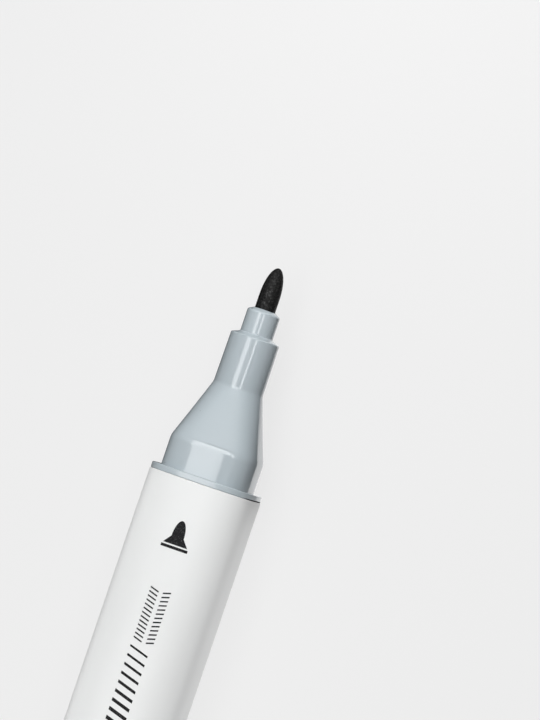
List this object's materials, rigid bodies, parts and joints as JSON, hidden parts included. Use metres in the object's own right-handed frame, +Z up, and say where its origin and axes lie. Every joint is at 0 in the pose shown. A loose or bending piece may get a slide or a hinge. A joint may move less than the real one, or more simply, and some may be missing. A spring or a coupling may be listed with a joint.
{
  "type": "sketch marker",
  "caption": "Double-ended sketch marker with a crowned square barrel, a bullet nib on a stepped nose and a pull-off cap over a broad chisel nib at the rear.",
  "frame": {"origin": "under the middle of the marker's length, on the surface that it lies on", "axes": "+X along the marker to the bullet nib, +Z up out of the surface, so -X is the way the rear cap pulls off"},
  "size_m": [0.1524, 0.0146, 0.0146],
  "materials": {
    "barrel": "satin white moulded plastic",
    "section": "glossy blue-grey moulded plastic",
    "nib": "bonded polyester fibre soaked in black ink",
    "reservoir": "bundled fibre soaked in black ink",
    "film": "thin plastic film",
    "cap": "satin white moulded plastic",
    "seal": "soft natural plastic",
    "plug": "black plastic in the ink's colour"
  },
  "bodies": {
    "marker": {"barrel": "barrel", "front_section": "section", "bullet_nib": "nib", "ink_reservoir": "reservoir", "reservoir_film": "film", "rear_section": "section", "chisel_nib": "nib"},
    "rear_cap": {"rear_cap": "cap", "rear_cap_seal": "seal", "rear_cap_plug": "plug"}
  },
  "joints": [
    {"name": "rear_cap_pull", "type": "slide", "parent": "marker", "child": "rear_cap", "axis": [-1, 0, 0], "range_m": [0, 0.034]}
  ]
}
